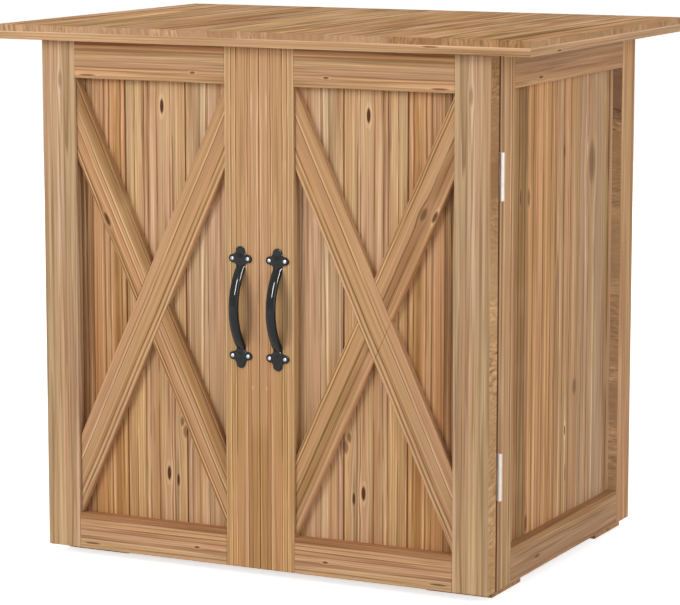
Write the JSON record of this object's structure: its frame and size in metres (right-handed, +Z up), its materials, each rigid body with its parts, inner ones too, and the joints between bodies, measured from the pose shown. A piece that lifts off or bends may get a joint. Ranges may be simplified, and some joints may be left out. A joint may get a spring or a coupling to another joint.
{
  "type": "storage shed",
  "caption": "Low wooden storage cabinet with an overhanging plank top, X-braced barn doors, arched pulls, a shelf and pad feet, for keeping garden goods.",
  "frame": {"origin": "on the ground, at the centre of the box around the whole cabinet, handles included", "axes": "+X to the right of someone facing the doors, +Y to the back, +Z up"},
  "size_m": [0.795, 0.5688, 0.742],
  "materials": {
    "top_wood": "satin stained fir",
    "frame_wood": "satin stained fir",
    "board_wood": "satin stained fir",
    "brace_wood": "satin stained fir",
    "inside_wood": "planed fir",
    "foot_wood": "planed fir",
    "black_iron": "gloss black paint",
    "screw_steel": "bright zinc plated",
    "hinge_steel": "zinc plated",
    "catch_plastic": "moulded",
    "plate_steel": "zinc plated"
  },
  "bodies": {
    "cabinet": {"back_boards": "board_wood", "back_bottom_rail": "frame_wood", "back_top_rail": "frame_wood", "catch_housings": "catch_plastic", "catch_poles": "plate_steel", "floor_boards": "inside_wood", "floor_cleats": "inside_wood", "front_bottom_rail": "frame_wood", "front_top_rail": "frame_wood", "hinge_frame_leaves": "hinge_steel", "hinge_frame_screws": "hinge_steel", "hinge_pins": "hinge_steel", "left_bottom_rail": "frame_wood", "left_front_foot": "foot_wood", "left_front_post": "frame_wood", "left_rear_foot": "foot_wood", "left_rear_post": "frame_wood", "left_side_boards": "board_wood", "left_top_rail": "frame_wood", "right_bottom_rail": "frame_wood", "right_front_foot": "foot_wood", "right_front_post": "frame_wood", "right_rear_foot": "foot_wood", "right_rear_post": "frame_wood", "right_side_boards": "board_wood", "right_top_rail": "frame_wood", "shelf_boards": "inside_wood", "shelf_cleats": "inside_wood", "top_planks": "top_wood", "top_trim_front": "top_wood", "top_trim_left": "top_wood", "top_trim_rear": "top_wood", "top_trim_right": "top_wood"},
    "left_door": {"left_door_boards": "board_wood", "left_door_bottom_rail": "frame_wood", "left_door_inner_stile": "frame_wood", "left_door_outer_stile": "frame_wood", "left_door_top_rail": "frame_wood", "left_half_brace_lower": "brace_wood", "left_half_brace_upper": "brace_wood", "left_handle": "black_iron", "left_handle_screws": "screw_steel", "left_hinge_door_leaves": "hinge_steel", "left_hinge_door_screws": "hinge_steel", "left_long_brace": "brace_wood", "left_strike_plate": "plate_steel"},
    "right_door": {"right_door_boards": "board_wood", "right_door_bottom_rail": "frame_wood", "right_door_inner_stile": "frame_wood", "right_door_outer_stile": "frame_wood", "right_door_top_rail": "frame_wood", "right_half_brace_lower": "brace_wood", "right_half_brace_upper": "brace_wood", "right_handle": "black_iron", "right_handle_screws": "screw_steel", "right_hinge_door_leaves": "hinge_steel", "right_hinge_door_screws": "hinge_steel", "right_long_brace_lower": "brace_wood", "right_long_brace_upper": "brace_wood", "right_strike_plate": "plate_steel"}
  },
  "joints": [
    {"name": "right_door_hinge", "type": "hinge", "parent": "cabinet", "child": "right_door", "pos_m": [0.34, -0.23062, 0.371], "axis": [0, 0, 1], "range_deg": [0, 180]},
    {"name": "left_door_hinge", "type": "hinge", "parent": "cabinet", "child": "left_door", "pos_m": [-0.34, -0.23062, 0.371], "axis": [0, 0, -1], "range_deg": [0, 180]}
  ]
}
